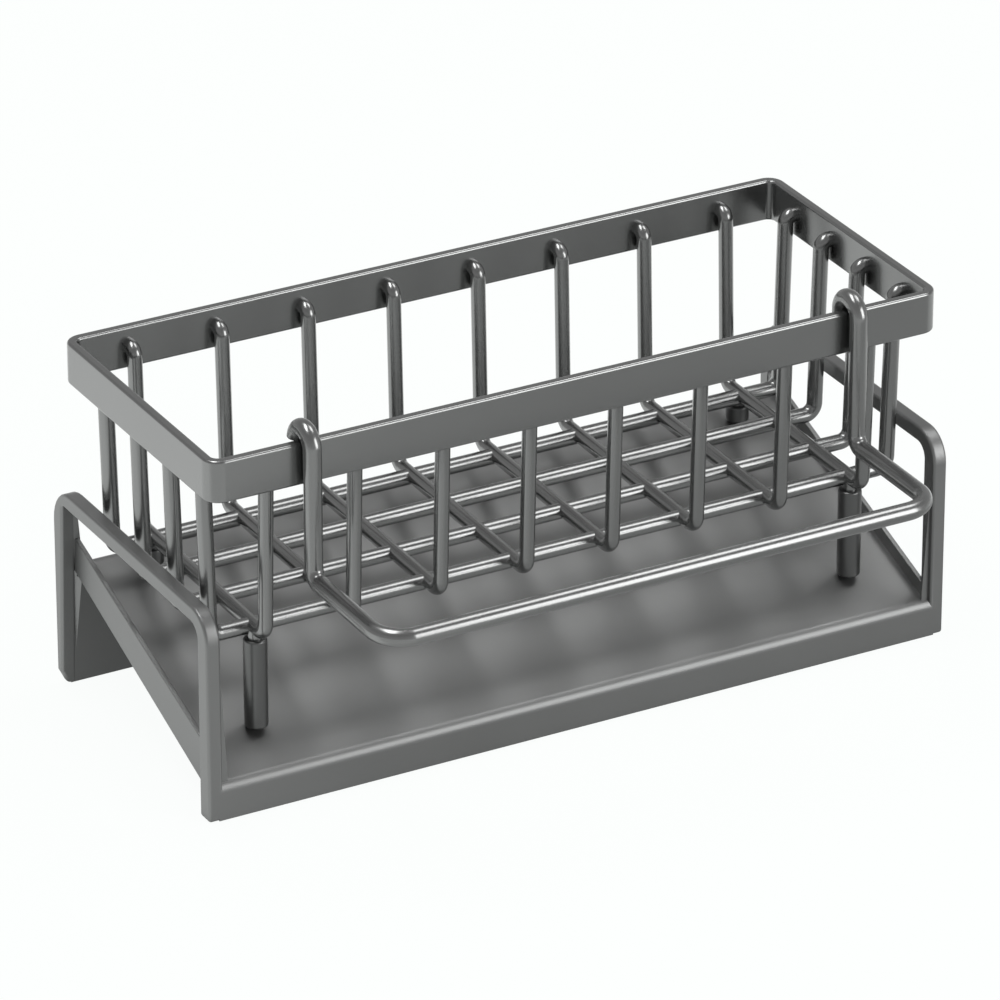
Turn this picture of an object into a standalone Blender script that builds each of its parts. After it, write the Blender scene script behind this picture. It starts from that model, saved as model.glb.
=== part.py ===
"""Sink organizer: a welded wire basket with a hook-on towel bar, standing in a sloping drip tray.

Metres, +Z up, front at -Y, X to the right. The origin is the bottom centre of the whole object's box.
"""
import math

import bmesh
import bpy
from mathutils import Matrix, Vector

# Clearances
SEAT_GAP = 0.0003
OVERRUN = 0.003
WELD_DISTANCE = 0.000002

# Rim band of the basket
RIM_WIDTH = 0.2300
RIM_DEPTH = 0.0913
RIM_HEIGHT = 0.0126
RIM_THICKNESS = 0.0029
RIM_CORNER_RADIUS = 0.0050
RIM_EDGE_RADIUS = 0.0009

# Basket wires: cross wires run front to back, long wires run left to right.
# A margin is from the rim's outer face to the nearest wire beside it, and a standoff is between
# the rim's inner face and the side of a wire's upright end, past the gap of the weld.
BASKET_FLOOR_HEIGHT = 0.0454
BASKET_HEIGHT = 0.0628
CROSS_WIRE_COUNT = 8
CROSS_WIRE_MARGIN = 0.0198
CROSS_WIRE_DIAMETER = 0.0043
CROSS_WIRE_STANDOFF = 0.0004
CROSS_WIRE_TAPER = math.radians(2.0)
LONG_WIRE_COUNT = 4
LONG_WIRE_MARGIN = 0.0158
LONG_WIRE_DIAMETER = 0.0046
LONG_WIRE_STANDOFF = 0.0001
LONG_WIRE_TAPER = math.radians(1.3)
WIRE_AXIS_OFFSET = 0.0011
WIRE_TOP_DROP = 0.0058
WIRE_ELBOW_RADIUS = 0.0024
WIRE_FLOOR_BEND_RADIUS = 0.0036

# Feet: a pin under each end of the first and last cross wires, in a soft cap
FOOT_MARGIN = 0.01395
PIN_DIAMETER = 0.0042
CAP_DIAMETER = 0.0068
CAP_BOTTOM_THICKNESS = 0.0016
CAP_EDGE_RADIUS = 0.0005

# Drip tray: sloping floor, front apron and back panel are one bent sheet
TRAY_SIDE_OVERHANG = 0.00285
TRAY_FRONT_OVERHANG = 0.0016
TRAY_BACK_OVERHANG = 0.0025
SHEET_THICKNESS = 0.0025
SHEET_BEND_RADIUS = 0.0021
TRAY_FLOOR_FRONT_HEIGHT = 0.0108
TRAY_FLOOR_BACK_HEIGHT = 0.0410
SHOULDER_DEPTH = 0.0088
BACK_PANEL_HEIGHT = 0.0330
SIDE_WALL_THICKNESS = 0.0015
SIDE_WALL_RISE = 0.0042
SIDE_WALL_FRONT_DROP = 0.0098
SIDE_WALL_BACK_DROP = 0.0066
SIDE_WALL_EDGE_RADIUS = 0.0004

# End frames of the tray
# The face step keeps the faces of joined pieces out of one plane.
FRAME_HEIGHT = 0.0630
FRAME_WIDTH = 0.0044
FRAME_FRONT_LEG = 0.0058
FRAME_BACK_LEG = 0.0055
FRAME_BACK_FOOT = 0.0028
FRAME_TOP_BAR = 0.0049
FRAME_FRONT_RADIUS = 0.0090
FRAME_BACK_RADIUS = 0.0110
FRAME_FRONT_INNER_RADIUS = 0.0040
FRAME_BACK_INNER_RADIUS = 0.0015
FRAME_HEEL_WIDTH = 0.0022
FRAME_HEEL_HEIGHT = 0.0044
FRAME_EDGE_RADIUS = 0.0009
FRONT_RIB_HEIGHT = 0.0490
FRONT_RIB_FULL_HEIGHT = 0.0130
FRONT_RIB_REACH = 0.0021
FRONT_RIB_THICKNESS = 0.0010
FRONT_RIB_SETBACK = 0.0014
BACK_RIB_TOP_WIDTH = 0.0005
BACK_RIB_FULL_HEIGHT = 0.0450
BACK_RIB_SETBACK = 0.0015
FACE_STEP = 0.0002

# Towel bar
TOWEL_BAR_DIAMETER = 0.0052
HOOK_MARGIN = 0.0291
HOOK_GAP = 0.0043
HOOK_CREST_GAP = 0.0010
HOOK_TAIL_LENGTH = 0.0090
TOWEL_BAR_DROP = 0.0399
TOWEL_BAR_REACH = 0.0426
ARM_BEND_RADIUS = 0.0040
TOWEL_CORNER_RADIUS = 0.0090

# Mesh fineness
ARC_STEP = math.radians(18)
WIRE_BEVEL_RESOLUTION = 2
BAR_BEVEL_RESOLUTION = 4
ROUND_SIDES = 20
SADDLE_SIDES = 12
EDGE_SEGMENTS = 2
SHARP_ANGLE = math.radians(35)

# Heights above the surface that the tray stands on
LONG_WIRE_Z = BASKET_FLOOR_HEIGHT + LONG_WIRE_DIAMETER / 2
CROSS_WIRE_Z = LONG_WIRE_Z + WIRE_AXIS_OFFSET
RIM_TOP = BASKET_FLOOR_HEIGHT + BASKET_HEIGHT
WIRE_TOP_Z = RIM_TOP - WIRE_TOP_DROP

# The tray stands out past the rim all round
TRAY_WIDTH = RIM_WIDTH + 2 * TRAY_SIDE_OVERHANG
TRAY_DEPTH = RIM_DEPTH + TRAY_FRONT_OVERHANG + TRAY_BACK_OVERHANG
TRAY_SLOPE = math.atan2(TRAY_FLOOR_BACK_HEIGHT - TRAY_FLOOR_FRONT_HEIGHT, TRAY_DEPTH - SHOULDER_DEPTH)

# Middle of the basket, measured in Y from the middle of the tray
BASKET_SHIFT = (TRAY_FRONT_OVERHANG - TRAY_BACK_OVERHANG) / 2

# Towel bar places, measured in Y from the middle of the basket
TAIL_Y = -RIM_DEPTH / 2 + RIM_THICKNESS + SEAT_GAP + TOWEL_BAR_DIAMETER / 2
LEG_Y = TAIL_Y - HOOK_GAP - TOWEL_BAR_DIAMETER
TOWEL_BAR_Y = LEG_Y - TOWEL_BAR_REACH

# The box of the whole object is centred on the origin, so the basket and tray stand behind it
FRONT_END = BASKET_SHIFT + TOWEL_BAR_Y - TOWEL_BAR_DIAMETER / 2
CENTRE_Y = -(FRONT_END + TRAY_DEPTH / 2) / 2

# The tray's own places, with Y measured from its middle
TRAY_FRONT = -TRAY_DEPTH / 2
TRAY_BACK = TRAY_DEPTH / 2
WALL_INSET = FRAME_WIDTH - FACE_STEP + SIDE_WALL_THICKNESS / 2
BACK_RIB_INSET = FRAME_WIDTH + SIDE_WALL_THICKNESS

# Outlines of the tray are drawn with X as depth and Y as height, then turned to face along X
FACING_X = (math.radians(90), 0, math.radians(90))
FACING_FRONT = (math.radians(90), 0, 0)


def clear_scene():
    for thing in list(bpy.data.objects):
        bpy.data.objects.remove(thing, do_unlink=True)


def make_collection(name):
    collection = bpy.data.collections.new(name)
    bpy.context.scene.collection.children.link(collection)
    return collection


def make_material(name, colour, roughness, metallic):
    material = bpy.data.materials.new(name)
    material.use_nodes = True
    shader = material.node_tree.nodes["Principled BSDF"]
    shader.inputs["Base Color"].default_value = (*colour, 1)
    shader.inputs["Roughness"].default_value = roughness
    shader.inputs["Metallic"].default_value = metallic
    material.diffuse_color = (*colour, 1)
    return material


def rounded_corner(before, corner, after, radius):
    """The arc of a radius that turns the path before - corner - after."""
    incoming = (corner - before).normalized()
    outgoing = (after - corner).normalized()
    turn = incoming.angle(outgoing)
    start = corner - incoming * radius * math.tan(turn / 2)
    centre = corner + (outgoing - incoming).normalized() * radius / math.cos(turn / 2)
    axis = incoming.cross(outgoing)
    steps = max(1, round(turn / ARC_STEP))
    spoke = start - centre
    return [centre + Matrix.Rotation(turn * step / steps, 3, axis) @ spoke for step in range(steps + 1)]


def without_repeats(points):
    kept = points[:1]
    for point in points[1:]:
        if (point - kept[-1]).length > WELD_DISTANCE:
            kept.append(point)
    return kept


def open_path(corners, radii):
    """Points from the first corner to the last, with the corners between them rounded."""
    corners = [Vector(corner) for corner in corners]
    points = [corners[0]]
    for before, corner, after, radius in zip(corners, corners[1:], corners[2:], radii):
        points += rounded_corner(before, corner, after, radius)
    return without_repeats(points + [corners[-1]])


def closed_path(corners, radii):
    """A closed outline with each corner rounded by its radius; a radius of zero keeps it sharp."""
    corners = [Vector(corner) for corner in corners]
    points = []
    for index, (corner, radius) in enumerate(zip(corners, radii)):
        before = corners[index - 1]
        after = corners[(index + 1) % len(corners)]
        points += rounded_corner(before, corner, after, radius) if radius else [corner]
    return without_repeats(points)


def thickened(points, thickness):
    """The closed outline of a sheet whose middle follows the points."""
    sides = ([], [])
    for index, point in enumerate(points):
        ahead = points[min(index + 1, len(points) - 1)] - point
        behind = point - points[max(index - 1, 0)]
        direction = (ahead.normalized() + behind.normalized()).normalized()
        normal = Vector((-direction.y, direction.x, 0))
        longest = max(ahead, behind, key=lambda run: run.length).normalized()
        half = thickness / 2 / max(direction.dot(longest), math.cos(ARC_STEP))
        sides[0].append(point + normal * half)
        sides[1].append(point - normal * half)
    return sides[0] + sides[1][::-1]


def new_curve(name, point_lists, cyclic, collection):
    curve = bpy.data.curves.new(name, "CURVE")
    for points in point_lists:
        spline = curve.splines.new("POLY")
        spline.points.add(len(points) - 1)
        for spline_point, point in zip(spline.points, points):
            spline_point.co = (*point, 1)
        spline.use_cyclic_u = cyclic
    thing = bpy.data.objects.new(name, curve)
    collection.objects.link(thing)
    return thing


def curve_to_solid(curve_object, material):
    """Replace a curve by its mesh, with the caps welded on."""
    bpy.context.view_layer.update()
    evaluated = curve_object.evaluated_get(bpy.context.evaluated_depsgraph_get())
    mesh = bpy.data.meshes.new_from_object(evaluated)
    shape = bmesh.new()
    shape.from_mesh(mesh)
    bmesh.ops.remove_doubles(shape, verts=shape.verts, dist=WELD_DISTANCE)
    bmesh.ops.recalc_face_normals(shape, faces=shape.faces)
    shape.to_mesh(mesh)
    shape.free()
    name = curve_object.name
    collection = curve_object.users_collection[0]
    matrix = curve_object.matrix_world.copy()
    bpy.data.objects.remove(curve_object, do_unlink=True)
    solid = bpy.data.objects.new(name, mesh)
    solid.matrix_world = matrix
    collection.objects.link(solid)
    mesh.materials.clear()
    mesh.materials.append(material)
    shade(mesh)
    return solid


def shade(mesh):
    mesh.shade_smooth()
    mesh.set_sharp_from_angle(angle=SHARP_ANGLE)


def tube(name, points, diameter, resolution, collection, material):
    thing = new_curve(name, [points], False, collection)
    curve = thing.data
    curve.dimensions = "3D"
    curve.bevel_depth = diameter / 2
    curve.bevel_resolution = resolution
    curve.use_fill_caps = True
    return curve_to_solid(thing, material)


def plate(name, outlines, thickness, rotation, location, collection, material):
    """A flat outline, with any further outlines as holes, drawn in XY and thickened along Z."""
    thing = new_curve(name, outlines, True, collection)
    thing.data.dimensions = "2D"
    thing.data.fill_mode = "BOTH"
    thing.data.extrude = thickness / 2
    thing.rotation_euler = rotation
    thing.location = location
    return curve_to_solid(thing, material)


def round_edges(thing, width):
    bevel = thing.modifiers.new("rounded edges", "BEVEL")
    bevel.width = width
    bevel.segments = EDGE_SEGMENTS
    bevel.limit_method = "ANGLE"
    bevel.angle_limit = SHARP_ANGLE


def combine(thing, other, operation):
    """Cut or join another object; the exact solver drops the end frames where the ribs join them."""
    step = thing.modifiers.new(other.name, "BOOLEAN")
    step.operation = operation
    step.solver = "MANIFOLD" if operation == "UNION" else "EXACT"
    step.object = other
    other.hide_render = True
    other.display_type = "WIRE"


def place(thing, parent, location, turn):
    thing.parent = parent
    thing.location = location
    thing.rotation_euler = (0, 0, turn)


def make_empty(name, location, parent, collection):
    empty = bpy.data.objects.new(name, None)
    empty.location = location
    empty.parent = parent
    collection.objects.link(empty)
    return empty


def floor_height(y):
    """Top of the tray's sloping floor at a depth measured from the tray's middle."""
    return TRAY_FLOOR_FRONT_HEIGHT + (y - TRAY_FRONT) * math.tan(TRAY_SLOPE)


def tray_sheet(collection, material):
    """Apron, sloping floor, shoulder and back panel as one bent sheet between the end frames."""
    half = SHEET_THICKNESS / 2
    below = half / math.cos(TRAY_SLOPE)
    front = TRAY_FRONT + half
    shoulder = TRAY_BACK - SHOULDER_DEPTH
    back = TRAY_BACK - half
    corners = [
        (front, 0, 0),
        (front, floor_height(front) - below, 0),
        (shoulder, floor_height(shoulder) - below, 0),
        (back, BACK_PANEL_HEIGHT, 0),
        (back, 0, 0),
    ]
    middle = open_path(corners, [SHEET_BEND_RADIUS] * (len(corners) - 2))
    width = TRAY_WIDTH - 2 * (FRAME_HEEL_WIDTH + FRAME_EDGE_RADIUS)
    outline = thickened(middle, SHEET_THICKNESS)
    return plate("drip_tray", [outline], width, FACING_X, (0, 0, 0), collection, material)


def sheet_trim(side, collection, material):
    """Cutter that stops the floor inside the side wall, between the legs of one end frame."""
    wall_middle = TRAY_WIDTH / 2 - WALL_INSET
    outer = TRAY_WIDTH / 2 + OVERRUN
    front = TRAY_FRONT + FRAME_FRONT_LEG / 2
    back = TRAY_BACK - SHEET_THICKNESS - FACE_STEP
    size = Matrix.Diagonal((outer - wall_middle, back - front, FRAME_HEIGHT + 2 * OVERRUN, 1))
    centre = Matrix.Translation((side * (outer + wall_middle) / 2, (front + back) / 2, FRAME_HEIGHT / 2))
    shape = bmesh.new()
    bmesh.ops.create_cube(shape, size=1, matrix=centre @ size)
    mesh = bpy.data.meshes.new(f"sheet_trim_{side:+d}")
    shape.to_mesh(mesh)
    shape.free()
    mesh.materials.append(material)
    cutter = bpy.data.objects.new(mesh.name, mesh)
    collection.objects.link(cutter)
    return cutter


def heel_wedge(side, collection, material):
    """Cutter that slopes the outer lower corner of a back leg; it starts and ends outside the leg."""
    inner = side * (TRAY_WIDTH / 2 - 2 * FRAME_HEEL_WIDTH)
    beyond = side * (TRAY_WIDTH / 2 + FRAME_HEEL_WIDTH)
    corners = [Vector(corner) for corner in (
        (inner, -FRAME_HEEL_HEIGHT, 0),
        (beyond, 2 * FRAME_HEEL_HEIGHT, 0),
        (beyond, -FRAME_HEEL_HEIGHT, 0),
    )]
    depth = 2 * FRAME_BACK_LEG
    return plate(f"heel_wedge_{side:+d}", [corners], depth, FACING_FRONT, (0, TRAY_BACK, 0),
                 collection, material)


def end_frame(side, collection, material):
    """Inverted U in side view, with rounded bends; its back leg thins towards the foot."""
    front_inside = TRAY_FRONT + FRAME_FRONT_LEG
    back_inside = TRAY_BACK - FRAME_BACK_LEG
    top_inside = FRAME_HEIGHT - FRAME_TOP_BAR
    corners = [
        (TRAY_FRONT, 0, 0),
        (TRAY_FRONT, FRAME_HEIGHT, 0),
        (TRAY_BACK, FRAME_HEIGHT, 0),
        (TRAY_BACK, 0, 0),
        (TRAY_BACK - FRAME_BACK_FOOT, 0, 0),
        (back_inside, top_inside, 0),
        (front_inside, top_inside, 0),
        (front_inside, 0, 0),
    ]
    radii = [0, FRAME_FRONT_RADIUS, FRAME_BACK_RADIUS, 0, 0,
             FRAME_BACK_INNER_RADIUS, FRAME_FRONT_INNER_RADIUS, 0]
    centre = side * (TRAY_WIDTH - FRAME_WIDTH) / 2
    frame = plate(f"end_frame_{side:+d}", [closed_path(corners, radii)], FRAME_WIDTH, FACING_X,
                  (centre, 0, 0), collection, material)
    combine(frame, heel_wedge(side, collection, material), "DIFFERENCE")
    round_edges(frame, FRAME_EDGE_RADIUS)
    return frame


def side_wall(side, collection, material):
    """Sloping side of the tray, standing above its floor and hanging below it."""
    front = TRAY_FRONT + FRAME_FRONT_LEG / 2
    back = TRAY_BACK - FRAME_BACK_LEG / 2
    corners = [
        (front, floor_height(front) - SIDE_WALL_FRONT_DROP, 0),
        (front, floor_height(front) + SIDE_WALL_RISE, 0),
        (back, floor_height(back) + SIDE_WALL_RISE, 0),
        (back, floor_height(back) - SIDE_WALL_BACK_DROP, 0),
    ]
    centre = side * (TRAY_WIDTH / 2 - WALL_INSET)
    wall = plate(f"side_wall_{side:+d}", [[Vector(corner) for corner in corners]],
                 SIDE_WALL_THICKNESS, FACING_X, (centre, 0, 0), collection, material)
    round_edges(wall, SIDE_WALL_EDGE_RADIUS)
    return wall


def leg_rib(name, side, outline, front, back, collection, material):
    """Rib on the inner side of a leg; the outline gives inset from the frame's outer face and height."""
    points = [Vector((side * (TRAY_WIDTH / 2 - inset), height, 0)) for inset, height in outline]
    return plate(name, [points], back - front, FACING_FRONT, (0, (front + back) / 2, 0),
                 collection, material)


def front_rib(side, collection, material):
    root = FRAME_WIDTH / 2 + FACE_STEP
    tip = FRAME_WIDTH + FRONT_RIB_REACH
    outline = [
        (root, FRAME_EDGE_RADIUS),
        (root, FRONT_RIB_HEIGHT),
        (FRAME_WIDTH, FRONT_RIB_HEIGHT),
        (tip, FRONT_RIB_FULL_HEIGHT),
        (tip, FRAME_EDGE_RADIUS),
    ]
    front = TRAY_FRONT + FRONT_RIB_SETBACK
    back = front + FRONT_RIB_THICKNESS
    return leg_rib(f"front_rib_{side:+d}", side, outline, front, back, collection, material)


def back_rib(side, collection, material):
    """Rib as deep as the back leg, whose front face leans back with that of the leg."""
    root = FRAME_WIDTH / 2 + FACE_STEP
    top = FRAME_HEIGHT - FRAME_BACK_RADIUS / 2
    outline = [
        (root, SHEET_THICKNESS),
        (root, top),
        (FRAME_WIDTH + BACK_RIB_TOP_WIDTH, top),
        (BACK_RIB_INSET, BACK_RIB_FULL_HEIGHT),
        (BACK_RIB_INSET, BACK_PANEL_HEIGHT),
        (FRAME_WIDTH + FACE_STEP, SHEET_THICKNESS),
    ]
    front = TRAY_BACK - FRAME_BACK_LEG + FACE_STEP
    back = TRAY_BACK - BACK_RIB_SETBACK
    rib = leg_rib(f"back_rib_{side:+d}", side, outline, front, back, collection, material)
    for vertex in rib.data.vertices:
        if vertex.co.z > 0:
            share = 1 - vertex.co.y / (FRAME_HEIGHT - FRAME_TOP_BAR)
            vertex.co.z -= (FRAME_BACK_LEG - FRAME_BACK_FOOT) * share
    return rib


def drip_tray(parent, parts, construction, material):
    tray = tray_sheet(parts, material)
    for side in (-1, 1):
        combine(tray, sheet_trim(side, construction, material), "DIFFERENCE")
    for side in (-1, 1):
        for make_piece in (end_frame, side_wall, front_rib, back_rib):
            combine(tray, make_piece(side, construction, material), "UNION")
    bpy.context.view_layer.update()
    evaluated = tray.evaluated_get(bpy.context.evaluated_depsgraph_get())
    finished = bpy.data.meshes.new_from_object(evaluated)
    finished.transform(tray.matrix_world)
    shade(finished)
    tray.modifiers.clear()
    tray.data = finished
    place(tray, parent, (0, 0, 0), 0)


def rim_band(parent, parts, material):
    """Flat band on edge, bent round into a closed ring with rounded corners."""
    def ring(inset, radius):
        half_width = RIM_WIDTH / 2 - inset
        half_depth = RIM_DEPTH / 2 - inset
        corners = [(x * half_width, y * half_depth, 0)
                   for x, y in ((-1, -1), (1, -1), (1, 1), (-1, 1))]
        return closed_path(corners, [radius] * len(corners))

    outlines = [ring(0, RIM_CORNER_RADIUS), ring(RIM_THICKNESS, RIM_CORNER_RADIUS - RIM_THICKNESS)]
    rim = plate("rim_band", outlines, RIM_HEIGHT, (0, 0, 0), (0, 0, 0), parts, material)
    round_edges(rim, RIM_EDGE_RADIUS)
    place(rim, parent, (0, 0, RIM_TOP - RIM_HEIGHT / 2), 0)


def basket_wire(name, span, diameter, standoff, taper, floor_z, parts, material):
    """A U in the XZ plane whose tops turn outward and end against the rim's inner face.

    The span is the rim's outer size along the wire.
    """
    face = span / 2 - RIM_THICKNESS - SEAT_GAP
    top = face - standoff - diameter / 2
    floor = top - (WIRE_TOP_Z - floor_z) * math.tan(taper)
    half = [(top + WIRE_ELBOW_RADIUS + OVERRUN, WIRE_TOP_Z), (top, WIRE_TOP_Z), (floor, floor_z)]
    corners = [(-x, 0, z) for x, z in half] + [(x, 0, z) for x, z in reversed(half)]
    radii = [WIRE_ELBOW_RADIUS, WIRE_FLOOR_BEND_RADIUS, WIRE_FLOOR_BEND_RADIUS, WIRE_ELBOW_RADIUS]
    wire = tube(name, open_path(corners, radii), diameter, WIRE_BEVEL_RESOLUTION, parts, material)
    shape = bmesh.new()
    shape.from_mesh(wire.data)
    for side in (-1, 1):
        everything = shape.verts[:] + shape.edges[:] + shape.faces[:]
        bmesh.ops.bisect_plane(shape, geom=everything, plane_co=(side * face, 0, 0),
                               plane_no=(side, 0, 0), clear_outer=True, dist=WELD_DISTANCE)
        rim_edges = [edge for edge in shape.edges if edge.is_boundary]
        bmesh.ops.holes_fill(shape, edges=rim_edges)
    shape.to_mesh(wire.data)
    shape.free()
    shade(wire.data)
    return wire


def wire_places(count, span, margin):
    """Even places along one side of the rim, from the margin at one end to that at the other."""
    first = margin - span / 2
    pitch = (span - 2 * margin) / (count - 1)
    return [first + index * pitch for index in range(count)]


def cross_wire_places():
    return wire_places(CROSS_WIRE_COUNT, RIM_WIDTH, CROSS_WIRE_MARGIN)


def cross_wires(parent, parts, material):
    mesh = None
    for number, x in enumerate(cross_wire_places(), start=1):
        name = f"cross_wire_{number}"
        if mesh is None:
            wire = basket_wire(name, RIM_DEPTH, CROSS_WIRE_DIAMETER, CROSS_WIRE_STANDOFF,
                               CROSS_WIRE_TAPER, CROSS_WIRE_Z, parts, material)
            mesh = wire.data
        else:
            wire = bpy.data.objects.new(name, mesh)
            parts.objects.link(wire)
        place(wire, parent, (x, 0, 0), math.radians(90))


def cross_wire_saddles(parent, construction):
    """Cutters for the saddles that the cross wires are pressed into where they cross a long wire."""
    shape = bmesh.new()
    for x in cross_wire_places():
        along_y = Matrix.Translation((x, 0, CROSS_WIRE_Z)) @ Matrix.Rotation(math.radians(90), 4, "X")
        bmesh.ops.create_cone(shape, cap_ends=True, segments=SADDLE_SIDES,
                              radius1=CROSS_WIRE_DIAMETER / 2 + SEAT_GAP,
                              radius2=CROSS_WIRE_DIAMETER / 2 + SEAT_GAP,
                              depth=RIM_DEPTH, matrix=along_y)
    mesh = bpy.data.meshes.new("cross_wire_saddles")
    shape.to_mesh(mesh)
    shape.free()
    cutter = bpy.data.objects.new("cross_wire_saddles", mesh)
    construction.objects.link(cutter)
    place(cutter, parent, (0, 0, 0), 0)
    return cutter


def long_wires(parent, parts, construction, material):
    saddles = cross_wire_saddles(parent, construction)
    places = wire_places(LONG_WIRE_COUNT, RIM_DEPTH, LONG_WIRE_MARGIN)
    mesh = None
    for number, y in enumerate(places, start=1):
        name = f"long_wire_{number}"
        if mesh is None:
            wire = basket_wire(name, RIM_WIDTH, LONG_WIRE_DIAMETER, LONG_WIRE_STANDOFF,
                               LONG_WIRE_TAPER, LONG_WIRE_Z, parts, material)
            mesh = wire.data
        else:
            wire = bpy.data.objects.new(name, mesh)
            parts.objects.link(wire)
        place(wire, parent, (0, y, 0), 0)
        combine(wire, saddles, "DIFFERENCE")


def turned_piece(name, profile, collection, material):
    """A profile of radius and height, turned round Z; it runs down its outer side."""
    mesh = bpy.data.meshes.new(name)
    points = [(radius, 0, height) for radius, height in profile]
    mesh.from_pydata(points, [(index, index + 1) for index in range(len(points) - 1)], [])
    mesh.materials.append(material)
    piece = bpy.data.objects.new(name, mesh)
    collection.objects.link(piece)
    turn = piece.modifiers.new("turned", "SCREW")
    turn.steps = ROUND_SIDES
    turn.render_steps = ROUND_SIDES
    turn.use_merge_vertices = True
    turn.merge_threshold = WELD_DISTANCE
    turn.use_smooth_shade = True
    return piece


def foot(number, x, y, parent, parts, wire_material, cap_material):
    """Pin under the basket's wires and the cap on it, long enough to stand on the sloping floor."""
    pin_top = BASKET_FLOOR_HEIGHT - SEAT_GAP
    cap_top = pin_top - SEAT_GAP
    cap_bottom = floor_height(BASKET_SHIFT + y + CAP_DIAMETER / 2) + SEAT_GAP
    bore_bottom = cap_bottom + CAP_BOTTOM_THICKNESS
    pin_bottom = bore_bottom + SEAT_GAP
    bore = PIN_DIAMETER / 2 + SEAT_GAP
    outer = CAP_DIAMETER / 2
    pin = turned_piece(f"foot_pin_{number}", [
        (0, pin_top),
        (PIN_DIAMETER / 2, pin_top),
        (PIN_DIAMETER / 2, pin_bottom),
        (0, pin_bottom),
    ], parts, wire_material)
    cap = turned_piece(f"foot_cap_{number}", [
        (0, bore_bottom),
        (bore, bore_bottom),
        (bore, cap_top),
        (outer - CAP_EDGE_RADIUS, cap_top),
        (outer, cap_top - CAP_EDGE_RADIUS),
        (outer, cap_bottom + CAP_EDGE_RADIUS),
        (outer - CAP_EDGE_RADIUS, cap_bottom),
        (0, cap_bottom),
    ], parts, cap_material)
    for piece in (pin, cap):
        place(piece, parent, (x, y, 0), 0)


def feet(parent, parts, wire_material, cap_material):
    x_places = cross_wire_places()
    reach = RIM_DEPTH / 2 - FOOT_MARGIN
    corners = [(x, y) for y in (-reach, reach) for x in (x_places[0], x_places[-1])]
    for number, (x, y) in enumerate(corners, start=1):
        foot(number, x, y, parent, parts, wire_material, cap_material)


def towel_bar(parent, parts, material):
    """One rod: tail, hook over the rim, leg, arm to the front, bar, and the same back again."""
    side = RIM_WIDTH / 2 - HOOK_MARGIN
    hook_radius = (LEG_Y - TAIL_Y) / -2
    crest = RIM_TOP + HOOK_CREST_GAP + TOWEL_BAR_DIAMETER / 2
    arm = RIM_TOP - TOWEL_BAR_DROP
    half = [
        (TAIL_Y, crest - hook_radius - HOOK_TAIL_LENGTH),
        (TAIL_Y, crest),
        (LEG_Y, crest),
        (LEG_Y, arm),
        (TOWEL_BAR_Y, arm),
    ]
    corners = [(-side, y, z) for y, z in half] + [(side, y, z) for y, z in reversed(half)]
    half_radii = [hook_radius, hook_radius, ARM_BEND_RADIUS, TOWEL_CORNER_RADIUS]
    points = open_path(corners, half_radii + half_radii[::-1])
    bar = tube("towel_bar", points, TOWEL_BAR_DIAMETER, BAR_BEVEL_RESOLUTION, parts, material)
    place(bar, parent, (0, 0, 0), 0)


def main():
    clear_scene()
    parts = make_collection("sink_organizer")
    construction = make_collection("construction")
    tray_material = make_material("tray_grey", (0.118, 0.120, 0.120), 0.42, 0.75)
    wire_material = make_material("wire_grey", (0.120, 0.121, 0.120), 0.32, 0.85)
    cap_material = make_material("cap_grey", (0.105, 0.106, 0.106), 0.50, 0.0)
    tray_place = make_empty("tray", (0, CENTRE_Y, 0), None, parts)
    basket_place = make_empty("basket", (0, BASKET_SHIFT, 0), tray_place, parts)
    towel_place = make_empty("towel_bar_seat", (0, 0, 0), basket_place, parts)
    drip_tray(tray_place, parts, construction, tray_material)
    rim_band(basket_place, parts, wire_material)
    cross_wires(basket_place, parts, wire_material)
    long_wires(basket_place, parts, construction, wire_material)
    feet(basket_place, parts, wire_material, cap_material)
    towel_bar(towel_place, parts, wire_material)


main()
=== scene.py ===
"""Sink organizer: a coated wire basket with a towel bar, standing in a sloping drip tray.

Metres, +Z up, front at -Y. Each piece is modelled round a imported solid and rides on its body.
"""
import math

import bmesh
import bpy
from bpy.props import FloatProperty, FloatVectorProperty, PointerProperty
from bpy.types import Operator, Panel, PropertyGroup
from mathutils import Matrix, Vector


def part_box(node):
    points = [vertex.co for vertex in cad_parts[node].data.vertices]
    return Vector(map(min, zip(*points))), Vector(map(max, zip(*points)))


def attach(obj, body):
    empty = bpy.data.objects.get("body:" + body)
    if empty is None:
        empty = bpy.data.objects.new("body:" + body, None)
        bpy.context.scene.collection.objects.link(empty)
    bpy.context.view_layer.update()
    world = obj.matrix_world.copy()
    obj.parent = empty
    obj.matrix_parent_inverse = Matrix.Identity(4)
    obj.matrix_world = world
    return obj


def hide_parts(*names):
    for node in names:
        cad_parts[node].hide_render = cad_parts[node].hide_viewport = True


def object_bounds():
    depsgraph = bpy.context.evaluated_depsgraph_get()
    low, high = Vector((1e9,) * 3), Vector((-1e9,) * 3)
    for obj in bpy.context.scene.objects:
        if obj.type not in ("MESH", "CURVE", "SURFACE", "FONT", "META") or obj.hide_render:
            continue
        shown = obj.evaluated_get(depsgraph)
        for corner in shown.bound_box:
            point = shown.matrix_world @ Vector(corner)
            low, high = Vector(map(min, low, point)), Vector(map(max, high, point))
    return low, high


bl_info = {
    "name": "Sink Organizer",
    "version": (1, 0, 0),
    "blender": (4, 5, 0),
    "location": "View3D > Sidebar > Sink Organizer",
    "description": "Wire basket with a towel bar in a sloping drip tray",
    "category": "Mesh",
}

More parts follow.
